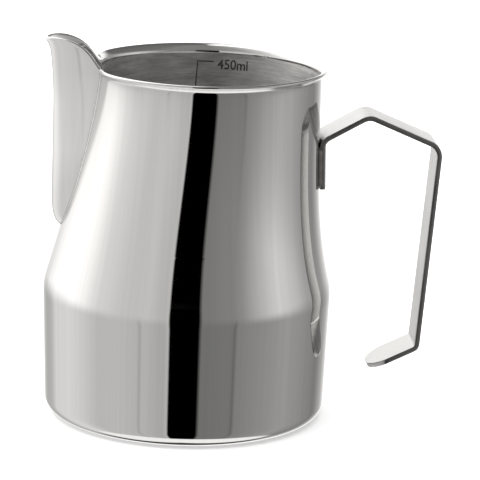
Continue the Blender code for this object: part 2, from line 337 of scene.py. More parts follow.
def add_piece(name, points, faces, materials, face_materials=None):
    """A smooth-shaded piece from points in millimetres; each face is a list of point numbers."""
    mesh = bpy.data.meshes.new(name)
    mesh.from_pydata((np.asarray(points) * MM).tolist(), [], faces)
    if face_materials:
        mesh.polygons.foreach_set("material_index", face_materials)
    piece = bpy.data.objects.new(name, mesh)
    bpy.context.scene.collection.objects.link(piece)
    shape = bmesh.new()
    shape.from_mesh(mesh)
    bmesh.ops.remove_doubles(shape, verts=shape.verts, dist=POINT_MERGE)
    bmesh.ops.dissolve_degenerate(shape, edges=shape.edges, dist=EDGE_VANISH)
    bmesh.ops.recalc_face_normals(shape, faces=shape.faces)
    shape.to_mesh(mesh)
    shape.free()
    for material in materials:
        mesh.materials.append(material)
    mesh.shade_smooth()
    return piece


def number_row(row, size):
    """The numbers of the points of one row, as one face."""
    return tuple(row * size + i for i in range(size))


def tube_faces(ring_count, size):
    """Faces of a closed tube of rings of points, with a cap at each end."""
    faces = [number_row(0, size), number_row(ring_count - 1, size)]
    for ring in range(ring_count - 1):
        for i in range(size):
            j = (i + 1) % size
            faces.append((ring * size + i, ring * size + j, (ring + 1) * size + j, (ring + 1) * size + i))
    return faces


def half_round(outer, outer_before, inner, inner_before):
    """Rows of points round a sheet's edge, from its outer row to its inner row."""
    middle = (outer + inner) / 2
    half = (outer - inner) / 2
    thickness = np.linalg.norm(half, axis=-1, keepdims=True)
    swell = np.minimum(thickness, EDGE_ROUND)
    along = (outer - outer_before) + (inner - inner_before)
    along = along - half * np.sum(along * half, -1, keepdims=True) / thickness ** 2
    along = along / np.linalg.norm(along, axis=-1, keepdims=True)
    return [middle + half * np.cos(t) + along * swell * np.sin(t)
            for t in steps(0.0, np.pi, EDGE_STEPS)[1:-1]]


def sheet_points(outer, inner, round_start=False):
    """The rows of a closed sheet: up its outside, round its edge and down its inside."""
    rows = list(outer) + half_round(outer[-1], outer[-2], inner[-1], inner[-2]) + list(inner[::-1])
    if round_start:
        rows += half_round(inner[0], inner[1], outer[0], outer[1])
    return np.array(rows)


def row_faces(row_count, column_count, cyclic=False):
    faces = []
    for row in range(row_count if cyclic else row_count - 1):
        following = (row + 1) % row_count
        for column in range(column_count - 1):
            faces.append((row * column_count + column, row * column_count + column + 1,
                          following * column_count + column + 1, following * column_count + column))
    return faces


def facing_row(outer_rows):
    """Rows 0 and this one are opposite each other on a sheet; rows 1 and this one less 1, and so on."""
    return 2 * outer_rows + EDGE_STEPS - 2


def side_faces(first_open, outer_rows, column_count):
    """Close both sides of a sheet between its outer and inner rows, from a row up to its edge."""
    opposite = facing_row(outer_rows)
    faces = []
    for column in (0, column_count - 1):
        for row in range(first_open, outer_rows - 1):
            square = (row, row + 1, opposite - row - 1, opposite - row)
            faces.append(tuple(corner * column_count + column for corner in square))
        edge_rows = range(outer_rows - 1, opposite - outer_rows + 2)
        faces.append(tuple(row * column_count + column for row in edge_rows))
    return faces


def jug_columns(levels, inset):
    """Angles of the columns at each level; from the notch's bottom up they start at its edge."""
    height = CORNER_TOP + np.clip(levels - 2, 0, 1) * (NECK_HEIGHT - CORNER_TOP)
    half_width = inner_notch_half_width(height) if inset else notch_half_width(height)
    edge = 2 * np.pi - wall_angle(height, half_width, inset)
    return edge[:, None] * steps(-1.0, 1.0, AROUND)[None, :]


def make_jug(outside, inside):
    """The spun body, open at the notch for the spout; its inside has a material of its own."""
    levels = jug_levels()
    outer = jug_surface(levels[:, None], jug_columns(levels, 0.0), 0.0)
    inner = jug_surface(levels[:, None], jug_columns(levels, SHEET), SHEET)
    rows = sheet_points(outer, inner)
    row_count, column_count = rows.shape[:2]
    notch_bottom = int(np.argmin(np.abs(outer[:, 0, 2] - SPOUT_BOTTOM)))
    neck_row = row_count - 1 - int(np.argmin(np.abs(levels - 3)))
    faces = row_faces(row_count, column_count)
    face_materials = [int(row >= neck_row) for row in range(row_count - 1) for _ in range(column_count - 1)]
    sides = side_faces(notch_bottom, len(levels), column_count)
    faces += sides
    face_materials += [0] * len(sides)
    for row, material_number in ((0, 0), (row_count - 1, 1)):
        faces.append(number_row(row, column_count)[:-1])    # its last column lies on its first
        face_materials.append(material_number)
    return add_piece("jug_skin", rows.reshape(-1, 3), faces, [outside, inside], face_materials)


def make_spout(material):
    """The pressed spout; its inner sheet starts where the rounded corner of the seam ends."""
    shares = steps(SPOUT_FIRST, 1.0, UP_SPOUT) ** SPOUT_CROWDING
    angles = steps(0.0, np.pi, ACROSS_SPOUT)
    outer = spout_surface(shares[:, None], angles[None, :], 0.0)
    _, _, depth = channel(SPOUT_BOTTOM + SHEET + (LIP_CREST - SPOUT_BOTTOM) * shares, SHEET)
    first = spout_turn(SEAM_ROUND, depth)[:, None]
    inner = spout_surface(shares[:, None], first + (np.pi - 2 * first) * angles[None, :] / np.pi, SHEET)
    rows = sheet_points(outer, inner)
    row_count, column_count = rows.shape[:2]
    faces = row_faces(row_count, column_count, cyclic=True)
    faces += side_faces(0, len(shares), column_count)
    return add_piece("spout_skin", rows.reshape(-1, 3), faces, [material])


def curve_between(start, corner, end):
    """Rows of points across the seam, along an arc whose ends point at the corner."""
    arc = [(1 - t) ** 2 * start + 2 * t * (1 - t) * corner + t ** 2 * end
           for t in steps(0.0, 1.0, ACROSS_SEAM)]
    return np.stack(arc, 1)


def seam_line(grow):
    """(y, z) down one side of the notch, round its foot and up the other, grown by a margin."""
    straight = steps(lip_height(0.0), NOTCH_ROUND_TOP, SEAM_SIDE_STEPS)[:-1]
    turn = steps(0.0, np.pi, SEAM_FOOT_STEPS)
    y = np.concatenate([-np.ones_like(straight), -np.cos(turn), np.ones_like(straight)])
    z = np.concatenate([straight, NOTCH_ROUND_TOP + 0 * turn, straight[::-1]])
    foot = np.concatenate([0 * straight, np.sin(turn), 0 * straight])
    return y * (SPOUT_HALF_WIDTH + grow), z - foot * (SPOUT_ROUND + grow)


def raised_to_lip(height, reach, inset):
    """The height of the seam's edge on the spout: near the top it climbs to meet the lip there."""
    _, _, depth = channel(height, inset)
    climb = lip_height(reach / depth) - lip_height(0.0)
    return height + climb * smooth(1 - (lip_height(0.0) - height) / SEAM_BLEND)


def make_seam(material):
    """The ground weld: a fillet outside and a rounded corner inside, from lip to lip round the foot."""
    corner_y, corner_z = seam_line(0.0)
    side = np.where(corner_y < 0, -1.0, 1.0)
    _, _, depth = channel(corner_z, 0.0)
    reach = np.minimum(SEAM_FILLET, FILLET_SHARE * depth)
    jug_y, jug_z = seam_line(reach)
    outer = curve_between(wall_point(jug_z, jug_y, 0.0), wall_point(corner_z, corner_y, 0.0),
                          spout_edge(raised_to_lip(corner_z, reach, 0.0), reach, 0.0, side))

    inner_y, inner_z = seam_line(-SHEET)
    _, _, depth = channel(inner_z, SHEET)
    reach = np.minimum(SEAM_ROUND, FILLET_SHARE * depth)
    inner = curve_between(wall_point(corner_z, side * inner_notch_half_width(corner_z), SHEET),
                          wall_point(inner_z, inner_y, SHEET),
                          spout_edge(raised_to_lip(inner_z, reach, SHEET), reach, SHEET, side))

    rows = sheet_points(outer, inner, round_start=True)
    row_count, column_count = rows.shape[:2]
    faces = row_faces(row_count, column_count, cyclic=True)
    faces += side_faces(0, len(outer), column_count)
    start_rows = list(range(facing_row(len(outer)), row_count)) + [0]
    for column in (0, column_count - 1):
        faces.append(tuple(row * column_count + column for row in start_rows))
    return add_piece("seam_weld", rows.reshape(-1, 3), faces, [material])


# ---------------------------------------------------------------- handle

def tab_face(height):
    """Where the tab's finger side is, with its back just off the jug."""
    radius, centre, _ = section(height)
    return centre + np.sqrt(radius ** 2 - (STRIP_WIDTH / 2) ** 2) + TAB_GAP + STRIP


def handle_line():
    """(point, normal, hollow) along the strip's finger side, with an arc at each bend."""
    corners = [(Vector((tab_face(z) if x is None else x, z)), radius) for x, z, radius in HANDLE_BENDS]
    start = corners[0][0]
    first_run = (corners[1][0] - start).normalized()
    line = [(start, Vector((-first_run.y, first_run.x)), 1.0)]
    for i in range(1, len(corners) - 1):
        corner, radius = corners[i]
        before = (corner - corners[i - 1][0]).normalized()
        after = (corners[i + 1][0] - corner).normalized()
        turn = before.angle(after)
        outward = Vector((-before.y, before.x))
        centre = corner - before * radius * np.tan(turn / 2) - outward * radius
        add_run(line, centre + outward * radius)
        first = np.arctan2(outward.y, outward.x)
        for turned in steps(0.0, turn, BEND_STEPS):
            normal = Vector((np.cos(first - turned), np.sin(first - turned)))
            hollow = np.cos(np.pi / 2 * turned / turn) if i == 1 else 0.0
            line.append((centre + normal * radius, normal, hollow))
    add_run(line, corners[-1][0])
    line.append((corners[-1][0], line[-1][1], 0.0))
    return line


def add_run(line, end):
    """Straight stations from the last one of a line towards an end, without that end."""
    start, normal, hollow = line[-1]
    line += [(start.lerp(end, share), normal, hollow) for share in steps(0.0, 1.0, RUN_STEPS)[1:-1]]


def strip_stations():
    """(point, normal, hollow, half width) along the strip, which narrows to a round free end."""
    line = handle_line()
    end, normal, _ = line[-1]
    along = Vector((normal.y, -normal.x))
    stations = [(*station, STRIP_WIDTH / 2) for station in line
                if (end - station[0]).length > HANDLE_END_RADIUS]
    for angle in steps(0.0, np.pi / 2, FREE_END_STEPS):
        back = HANDLE_END_RADIUS * (1 - np.sin(angle))
        half_width = STRIP_WIDTH / 2 - HANDLE_END_RADIUS * (1 - np.cos(angle))
        stations.append((end - along * back, normal, 0.0, half_width))
    return stations


def strip_outline(half_width, inset):
    """(across, through) round the strip's section, with eased corners, drawn in by an inset."""
    flat_half = half_width - STRIP_CORNER
    outline = []
    for quarter, (side, face) in enumerate(((1, 1), (-1, 1), (-1, -1), (1, -1))):
        first = quarter * np.pi / 2
        for angle in steps(first, first + np.pi / 2, STRIP_CORNER_STEPS):
            across = side * flat_half + (STRIP_CORNER - inset) * np.cos(angle)
            through = face * (STRIP / 2 - STRIP_CORNER) + (STRIP_CORNER - inset) * np.sin(angle)
            outline.append((across, through))
        if side == face:    # a wide face follows, which may be hollow
            for share in steps(0.0, 1.0, STRIP_FACE_STEPS)[1:-1]:
                outline.append((side * flat_half * (1 - 2 * share), face * (STRIP / 2 - inset)))
    return outline


def make_handle(material):
    """The bent strip, with eased edges all round; its tab is hollow where it lies on the jug."""
    jug_radius = float(section(HANDLE_BENDS[1][1])[0])
    edge_sag = jug_radius - np.sqrt(jug_radius ** 2 - (STRIP_WIDTH / 2) ** 2)
    stations = strip_stations()
    first = stations[0]
    last = stations[-1]
    into = (stations[1][0] - first[0]).normalized()
    out_of = (last[0] - stations[-2][0]).normalized()
    eased = [(STRIP_CORNER * (1 - np.sin(angle)), STRIP_CORNER * (1 - np.cos(angle)))
             for angle in steps(0.0, np.pi / 2, STRIP_END_STEPS)]
    rings = [(first[0] + into * back, *first[1:], inset) for back, inset in reversed(eased)]
    rings += [(*station, 0.0) for station in stations[1:-1]]
    rings += [(last[0] - out_of * back, *last[1:], inset) for back, inset in eased]
    points = []
    for point, normal, hollow, half_width, inset in rings:
        for across, through in strip_outline(half_width, inset):
            sag = jug_radius - np.sqrt(jug_radius ** 2 - across ** 2)
            place = point - normal * hollow * (edge_sag - sag) + normal * (STRIP / 2 + through)
            points.append((place.x, across, place.y))
    faces = tube_faces(len(rings), len(points) // len(rings))
    return add_piece("handle_strip", points, faces, [material])


def make_tab_weld(name, side, material):
    """A fillet of weld metal in the corner between the tab's edge and the jug, round at its ends."""
    foot = HANDLE_BENDS[0][1] + TAB_WELD_FOOT
    head = HANDLE_BENDS[1][1] - TAB_WELD_HEAD
    root = STRIP_WIDTH / 2 - TAB_WELD_BITE
    rings = []
    for share in steps(0.0, 1.0, TAB_WELD_RINGS):
        height = foot + (head - foot) * share
        uneven = 1 + TAB_WELD_UNEVEN * np.sin(TAB_WELD_WAVES * share + side)
        distance_to_end = min(share, 1 - share) * (head - foot)
        taper = np.sqrt(1 - (1 - min(1.0, distance_to_end / TAB_WELD_LEG)) ** 2)
        size = TAB_WELD_LEG * uneven * max(taper, TAB_WELD_TIP)
        radius, centre, _ = section(height)
        ring = []
        for angle in steps(TAB_WELD_TURN, np.pi / 2 - TAB_WELD_TURN, TAB_WELD_STEPS):
            y = root + size * max(0.0, np.cos(angle))
            lift = size * max(0.0, np.sin(angle))
            ring.append((centre + np.sqrt(radius ** 2 - y ** 2) - TAB_WELD_SINK + lift, side * y, height))
        rings.append(ring)
    faces = tube_faces(len(rings), len(rings[0]))
    return add_piece(name, np.array(rings).reshape(-1, 3), faces, [material])


# ---------------------------------------------------------------- materials

POLISHED_COLOUR = (0.75, 0.745, 0.735)
# The spout is the same polished steel as the body; its paler colour is painted sheen that brightens the
# spout's reflections.
SPOUT_SHEEN_COLOUR = (0.89, 0.885, 0.88)
INSIDE_COLOUR = (0.57, 0.56, 0.55)
STRIP_COLOUR = (0.56, 0.555, 0.545)
SEAM_COLOUR = (0.62, 0.61, 0.60)
# The tab's fillets are near black: painted shade standing in for the dark corner between the tab and the
# jug.
FILLET_SHADE_COLOUR = (0.24, 0.23, 0.22)
MARK_COLOUR = (0.09, 0.085, 0.08)

SEAM_ROUGHNESS = 0.16
FILLET_ROUGHNESS = 0.36
WELD_SMOOTHER = 0.1         # a weld's roughness goes this much below its own
WELD_ROUGHER = 0.12         # and this much above

# Fineness of the noise: per metre along x, y and z.
POLISH_RIPPLE = (45.0, 45.0, 9.0)
POLISH_HAZE = (28.0, 28.0, 28.0)
STRIP_LINES = (60.0, 3000.0, 60.0)
STRIP_HAZE = (90.0, 90.0, 90.0)
MARK_GRAINS = (2500.0, 2500.0, 2500.0)
SEAM_GRAINS = (700.0, 700.0, 700.0)
FILLET_GRAINS = (900.0, 900.0, 900.0)

# The same where metal is spun: per radian round the jug and per metre along its profile.
POLISH_SWIRL = (26.0, 2600.0)
POLISH_STREAKS = (24.0, 5.0)
SPUN_LINES = (3.5, 2200.0)
SPUN_BANDS = (4.0, 420.0)
SPUN_SLANT = 0.15           # spun lines are nearly level on the wall and are rings on the base

STREAK_TONE = 0.965         # the polished steel's streaks keep this share of its colour
SPUN_TONE = 1.55            # and the satin inside is up to this many times as pale

# Heights of the bumps, in metres.
RIPPLE_BUMP = 0.000012
SWIRL_BUMP = 0.0000008
LINES_BUMP = 0.00006
BANDS_BUMP = 0.00012
STRIP_BUMP = 0.00002
MARK_BUMP = 0.00002
SEAM_BUMP = 0.00001
FILLET_BUMP = 0.00006


def add_node(tree, kind, inputs=None, **settings):
    """A new node with its settings; each of its inputs gets a link or a plain value."""
    node = tree.nodes.new(kind)
    for key, value in settings.items():
        setattr(node, key, value)
    for key, value in (inputs or {}).items():
        if isinstance(value, bpy.types.NodeSocket):
            tree.links.new(value, node.inputs[key])
        else:
            node.inputs[key].default_value = value
    return node


class Nodes:
    """A short way to write a material's nodes."""

    def __init__(self, name, colour, roughness, metallic=1.0):
        self.material = bpy.data.materials.new(name)
        self.material.use_nodes = True
        self.tree = self.material.node_tree
        self.shader = self.tree.nodes["Principled BSDF"]
        self.shader.inputs["Base Color"].default_value = (*colour, 1.0)
        self.shader.inputs["Roughness"].default_value = roughness
        self.shader.inputs["Metallic"].default_value = metallic

    def put(self, kind, inputs=None, **settings):
        return add_node(self.tree, kind, inputs, **settings).outputs[0]

    def math(self, operation, a, b=0.0):
        return self.put("ShaderNodeMath", {0: a, 1: b}, operation=operation)

    def spun(self, rate_around, rate_along):
        """Coordinates that run round the jug's axis and along its profile, for spun metal."""
        place = add_node(self.tree, "ShaderNodeTexCoord").outputs["Object"]
        split = add_node(self.tree, "ShaderNodeSeparateXYZ", {0: place})
        around = self.math("ARCTAN2", split.outputs["Y"], split.outputs["X"])
        out = self.math("SQRT", self.math("ADD", self.math("POWER", split.outputs["X"], 2.0),
                                          self.math("POWER", split.outputs["Y"], 2.0)))
        along = self.math("SUBTRACT", split.outputs["Z"], self.math("MULTIPLY", out, SPUN_SLANT))
        return self.put("ShaderNodeCombineXYZ", {"X": self.math("MULTIPLY", around, rate_around),
                                                 "Y": self.math("MULTIPLY", along, rate_along)})

    def stretched(self, scale):
        """The piece's own coordinates, scaled along x, y and z."""
        place = add_node(self.tree, "ShaderNodeTexCoord").outputs["Object"]
        return self.put("ShaderNodeMapping", {"Vector": place, "Scale": scale})

    def noise(self, vector, scale=1.0, detail=2.0, roughness=0.5):
        return self.put("ShaderNodeTexNoise",
                        {"Vector": vector, "Scale": scale, "Detail": detail, "Roughness": roughness})

    def between(self, value, low, high, start=0.3, end=0.7):
        return self.put("ShaderNodeMapRange", {"Value": value, "From Min": start, "From Max": end,
                                               "To Min": low, "To Max": high})

    def bump(self, height, distance, strength=1.0, before=None):
        inputs = {"Height": height, "Distance": distance, "Strength": strength}
        if before:
            inputs["Normal"] = before
        return self.put("ShaderNodeBump", inputs)

    def link(self, value, socket):
        self.tree.links.new(value, self.shader.inputs[socket])

    def colour_mix(self, share, colour, other):
        """Colour the metal from one colour to another by a share."""
        mix = add_node(self.tree, "ShaderNodeMix", {0: share, 6: (*colour, 1.0), 7: (*other, 1.0)},
                       data_type="RGBA")
        self.link(mix.outputs[2], "Base Color")


def toned(colour, factor):
    return tuple(min(1.0, value * factor) for value in colour)


def mirror_steel(name, colour):
    """Polished outside: a near mirror, with the faint ripple and swirl that buffing leaves."""
    look = Nodes(name, colour, roughness=0.03)
    ripple = look.noise(look.stretched(POLISH_RIPPLE), detail=1.0)
    swirl = look.noise(look.spun(*POLISH_SWIRL), detail=3.0, roughness=0.6)
    haze = look.noise(look.stretched(POLISH_HAZE), detail=4.0)
    dullness = look.math("ADD", look.between(haze, low=0.014, high=0.034),
                         look.between(swirl, low=0.0, high=0.016))
    look.link(dullness, "Roughness")
    streaks = look.noise(look.spun(*POLISH_STREAKS), detail=4.0, roughness=0.6)
    clean = look.between(streaks, low=0.0, high=1.0, start=0.38, end=0.56)
    look.colour_mix(clean, toned(colour, STREAK_TONE), colour)
    soft = look.bump(ripple, RIPPLE_BUMP, strength=0.3)
    look.link(look.bump(swirl, SWIRL_BUMP, strength=0.3, before=soft), "Normal")
    return look.material


def spun_steel(name, colour):
    """Satin inside: fine lines run round the wall and spread the light up and down it."""
    look = Nodes(name, colour, roughness=0.36)
    lines = look.noise(look.spun(*SPUN_LINES), detail=4.0, roughness=0.75)
    bands = look.noise(look.spun(*SPUN_BANDS), detail=3.0, roughness=0.6)
    look.link(look.between(lines, low=0.42, high=0.56), "Roughness")
    look.shader.inputs["Anisotropic"].default_value = 0.95
    look.shader.inputs["Anisotropic Rotation"].default_value = 0.25
    look.link(look.put("ShaderNodeTangent", direction_type="RADIAL", axis="Z"), "Tangent")
    fine = look.bump(lines, LINES_BUMP)
    look.link(look.bump(bands, BANDS_BUMP, strength=0.7, before=fine), "Normal")
    paleness = look.between(look.math("ADD", lines, bands), low=0.0, high=1.0, start=0.8, end=1.2)
    look.colour_mix(paleness, colour, toned(colour, SPUN_TONE))
    return look.material


def strip_steel(name, colour):
    """The handle: satin, with fine lines along the strip."""
    look = Nodes(name, colour, roughness=0.3)
    lines = look.noise(look.stretched(STRIP_LINES), detail=3.0, roughness=0.7)
    haze = look.noise(look.stretched(STRIP_HAZE), detail=3.0)
    dullness = look.math("ADD", look.between(lines, low=0.2, high=0.34),
                         look.between(haze, low=0.0, high=0.06))
    look.link(dullness, "Roughness")
    look.link(look.bump(lines, STRIP_BUMP, strength=0.5), "Normal")
    return look.material


def weld_steel(name, colour, roughness, fineness, bump_height):
    """Weld metal: uneven and a little darker than the sheets; the near-black colour given to the tab's
    fillets is painted shade for the dark corner beside the tab.
    """
    look = Nodes(name, colour, roughness)
    grains = look.noise(look.stretched(fineness), detail=4.0, roughness=0.6)
    spread = look.between(grains, low=roughness - WELD_SMOOTHER, high=roughness + WELD_ROUGHER)
    look.link(spread, "Roughness")
    look.link(look.bump(grains, bump_height, strength=0.7), "Normal")
    return look.material


def etched_mark(name):
    """The dark, finely grained look of an etched mark."""
    look = Nodes(name, MARK_COLOUR, roughness=0.5, metallic=0.5)
    grains = look.noise(look.stretched(MARK_GRAINS), detail=3.0)
    look.link(look.between(grains, low=0.4, high=0.65), "Roughness")
    look.link(look.bump(grains, MARK_BUMP, strength=0.5), "Normal")
    return look.material


# ---------------------------------------------------------------- the volume mark on the inside

MARK_HEIGHT = 99.5          # of the 450 ml line
MARK_SINK = 0.04            # the mark's film stands this far off the wall
MARK_FILM = 0.03
MARK_LINE = 0.36
MARK_SPINE_ANGLE = np.radians(91.2)     # round the jug, from the handle towards +Y
MARK_TICK_ANGLE = np.radians(82.6)
MARK_TEXT_ANGLE = np.radians(80.6)
MARK_TEXT_HEIGHT = 3.1
MARK_TEXT_WIDTH = 9.4
MARK_TEXT_DROP = 2.3        # from the line's height to the numerals' feet
MARK_SPINE_FOOT = 62.0
MARK_TEXT_BOLD = 0.012      # how far the numerals' outlines are grown, as a share of their size
MARK_TEXT_MERGE = 1e-5      # and how near each other two of their points are the same
MARK_LINE_STEPS = 2         # across the line
MARK_SPINE_STEPS = 40       # up its upright
MARK_TICK_STEPS = 12        # and along the stroke at its top


def on_inner_wall(angle, height, off):
    """A point a little off the inner wall, by its angle round the jug and its height."""
    radius, centre, flattening = section(np.asarray(height, float))
    reach = flattened(radius, flattening, angle) - SHEET - off
    return np.stack([centre + reach * np.cos(angle), reach * np.sin(angle), height + 0 * angle], -1)


def film_points(angles, heights):
    """Both layers of a thin film on the inner wall, over a grid of angles and heights."""
    grid_angle, grid_height = np.meshgrid(angles, heights)
    near = on_inner_wall(grid_angle, grid_height, MARK_SINK)
    far = on_inner_wall(grid_angle, grid_height, MARK_SINK - MARK_FILM)
    return near.reshape(-1, 3).tolist() + far.reshape(-1, 3).tolist()


def film_faces(rows, columns, near):
    """Both layers of a film and the band round its border; near is the number of its first point."""
    far = near + rows * columns
    faces = []
    for a, b, c, d in row_faces(rows, columns):
        faces.append((near + a, near + b, near + c, near + d))
        faces.append((far + a, far + d, far + c, far + b))
    grid = np.arange(rows * columns).reshape(rows, columns)
    border = np.concatenate([grid[0], grid[1:, -1], grid[-1, -2::-1], grid[-2:0:-1, 0]]).tolist()
    for a, b in zip(border, border[1:] + border[:1]):
        faces.append((near + a, far + a, far + b, near + b))
    return faces


def make_scale_line(material):
    """The mark's upright line and the stroke from its top to the numerals."""
    half = MARK_LINE / 2
    wall_radius = float(section(MARK_HEIGHT)[0]) - SHEET
    half_angle = half / wall_radius
    patches = [
        (steps(MARK_SPINE_ANGLE + half_angle, MARK_SPINE_ANGLE - half_angle, MARK_LINE_STEPS),
         steps(MARK_SPINE_FOOT, MARK_HEIGHT - half - MARK_FILM, MARK_SPINE_STEPS)),
        (steps(MARK_SPINE_ANGLE + half_angle, MARK_TICK_ANGLE, MARK_TICK_STEPS),
         steps(MARK_HEIGHT - half, MARK_HEIGHT + half, MARK_LINE_STEPS)),
    ]
    points = []
    faces = []
    for angles, heights in patches:
        faces += film_faces(len(heights), len(angles), near=len(points))
        points += film_points(angles, heights)
    return add_piece("volume_line", points, faces, [material])


def flat_numerals():
    """A flat mesh of the volume in plain numerals."""
    text = bpy.data.curves.new("volume_text_curve", "FONT")
    text.body = "450ml"
    text.offset = MARK_TEXT_BOLD
    holder = bpy.data.objects.new("volume_text_holder", text)
    bpy.context.scene.collection.objects.link(holder)
    bpy.context.view_layer.update()
    depsgraph = bpy.context.evaluated_depsgraph_get()
    mesh = bpy.data.meshes.new_from_object(holder.evaluated_get(depsgraph))
    bpy.data.objects.remove(holder)
    bpy.data.curves.remove(text)
    return mesh


def make_scale_text(material):
    """The numerals, bent to the wall, with the film's thickness."""
    mesh = flat_numerals()
    shape = bmesh.new()
    shape.from_mesh(mesh)
    bmesh.ops.remove_doubles(shape, verts=shape.verts, dist=MARK_TEXT_MERGE)
    bmesh.ops.triangulate(shape, faces=shape.faces)
    low = Vector((min(v.co.x for v in shape.verts), min(v.co.y for v in shape.verts), 0))
    high = Vector((max(v.co.x for v in shape.verts), max(v.co.y for v in shape.verts), 0))
    shallow = bmesh.ops.extrude_face_region(shape, geom=shape.faces[:])
    raised = {v for v in shallow["geom"] if isinstance(v, bmesh.types.BMVert)}
    wall_radius = float(section(MARK_HEIGHT)[0]) - SHEET
    for vert in shape.verts:
        across = (vert.co.x - low.x) / (high.x - low.x) * MARK_TEXT_WIDTH
        up = (vert.co.y - low.y) / (high.y - low.y) * MARK_TEXT_HEIGHT
        angle = MARK_TEXT_ANGLE - across / wall_radius
        off = MARK_SINK if vert in raised else MARK_SINK - MARK_FILM
        place = on_inner_wall(np.array(angle), MARK_HEIGHT - MARK_TEXT_DROP + up, off)
        vert.co = Vector(place.tolist()) * MM
    bmesh.ops.recalc_face_normals(shape, faces=shape.faces)
    shape.to_mesh(mesh)
    shape.free()
    mesh.name = "volume_text"
    mesh.materials.clear()
    mesh.materials.append(material)
    piece = bpy.data.objects.new("volume_text", mesh)
    bpy.context.scene.collection.objects.link(piece)
    return piece


# ---------------------------------------------------------------- build the pitcher

outside_steel = mirror_steel("polished_outside", POLISHED_COLOUR)
inside_steel = spun_steel("satin_inside", INSIDE_COLOUR)
# a paler copy of the body's polished steel: painted sheen on the spout
spout_sheen_steel = mirror_steel("polished_spout", SPOUT_SHEEN_COLOUR)
handle_steel = strip_steel("satin_strip", STRIP_COLOUR)
seam_steel = weld_steel("ground_seam", SEAM_COLOUR, SEAM_ROUGHNESS, SEAM_GRAINS, SEAM_BUMP)
# near-black fillets along the tab: painted shade in the corner between the tab and the jug
fillet_shade_steel = weld_steel("tab_fillet_painted_shade", FILLET_SHADE_COLOUR, FILLET_ROUGHNESS, FILLET_GRAINS, FILLET_BUMP)
mark_film = etched_mark("etched_mark")

jug = make_jug(outside_steel, inside_steel)
spout = make_spout(spout_sheen_steel)
seam = make_seam(seam_steel)
handle = make_handle(handle_steel)
left_weld = make_tab_weld("tab_weld_left", 1, fillet_shade_steel)
right_weld = make_tab_weld("tab_weld_right", -1, fillet_shade_steel)
scale_line = make_scale_line(mark_film)
scale_text = make_scale_text(mark_film)

for piece, node, slot in (
        (jug, "jug_body", "polished_steel"),
        (spout, "spout", "polished_spout_steel"),
        (seam, "spout_weld", "ground_weld_steel"),
        (handle, "handle", "satin_strip_steel"),
        (left_weld, "handle_weld_left", "left_fillet_steel"),
        (right_weld, "handle_weld_right", "right_fillet_steel"),
        (scale_line, None, "polished_steel"),
        (scale_text, None, "polished_steel")):
    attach(piece, "root")
    if node:
        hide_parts(node)


# ---------------------------------------------------------------- studio

CAMERA_AZIMUTH = np.radians(-4.35)
CAMERA_ELEVATION = np.radians(13.75)
CAMERA_ROLL = np.radians(1.9)
CAMERA_DISTANCE = 0.9079
CAMERA_AIM = Vector((0.01536, 0.0, 0.05196))
CAMERA_LENS = 229.9
CAMERA_SENSOR = 36.0

# Brightness of the studio as the metal sees it, by degrees to the right of the camera's direction.
# Below the horizon: a softbox on the left, the dark gap round the camera, grey cards on the right.
STUDIO_LOW = [
    (-180, 1.30), (-171, 1.25), (-160, 0.65), (-150, 0.50), (-138, 0.58), (-128, 0.84), (-108, 0.88),
    (-96, 0.82), (-84, 0.72), (-72, 0.63), (-56, 0.64), (-38, 0.60), (-36, 0.44), (-34, 0.60),
    (-24, 0.55), (-16, 0.51), (-12.4, 0.60), (-11.4, 0.0), (12.0, 0.0), (13.4, 0.21), (39, 0.23),
    (41, 0.16), (43, 0.27), (60, 0.32), (90, 0.41), (112, 0.34), (136, 0.25), (152, 0.50),
    (162, 0.80), (170, 1.25), (180, 1.30),
]
# Above the horizon the softboxes on the left and behind the pitcher are at their brightest.
STUDIO_HIGH = [
    (-180, 1.40), (-100, 1.42), (-90, 1.25), (-80, 1.00), (-72, 0.86), (-48, 0.70), (-30, 0.70),
    (-16, 0.60), (-12.4, 0.64), (-11.4, 0.0), (12.0, 0.0), (13.4, 0.24), (40, 0.29), (48, 0.36),
    (64, 0.60), (80, 0.81), (96, 0.69), (112, 0.47), (126, 0.38), (142, 0.42), (160, 1.20), (180, 1.40),
]
# Overhead the room is dark, except for the softboxes on the left and behind.
STUDIO_TOP = [
    (-180, 0.40), (-170, 1.10), (-150, 1.90), (-98, 1.90), (-82, 1.20), (-68, 0.75), (-40, 0.42), (0, 0.26),
    (40, 0.28), (62, 0.21), (160, 0.15), (174, 0.18), (180, 0.40),
]
# Underneath: bright paper on the camera's side and at both sides, and dark behind the pitcher.
STUDIO_GROUND = [(-180, 0.08), (-140, 0.08), (-118, 1.15), (118, 1.15), (140, 0.08), (180, 0.08)]
STUDIO_BRIGHTEST = 2.0
GROUND_TO_LOW = np.radians((-57.0, -50.0))
LOW_TO_HIGH = np.radians((-15.5, 1.0))    # elevations between which one ring fades into the next
HIGH_TO_TOP = np.radians((14.0, 30.0))
STUDIO_COLOUR = (1.0, 0.995, 0.985, 1.0)
BACKDROP_COLOUR = (1.0, 1.0, 1.0, 1.0)
FLOOR_LIGHT_POWER = 60.0
FLOOR_LIGHT_SIZE = 3.0
FLOOR_LIGHT_HEIGHT = 2.0
FLOOR_RADIUS = 6.0
FLOOR_SIDES = 96
FLOOR_DROP = 0.0002         # keeps the base from lying in the floor's own plane
FLOOR_COLOUR = (0.93, 0.93, 0.93, 1.0)
FLOOR_ROUGHNESS = 0.9
FLOOR_GLOW = 0.36           # keeps the far floor as white as the backdrop


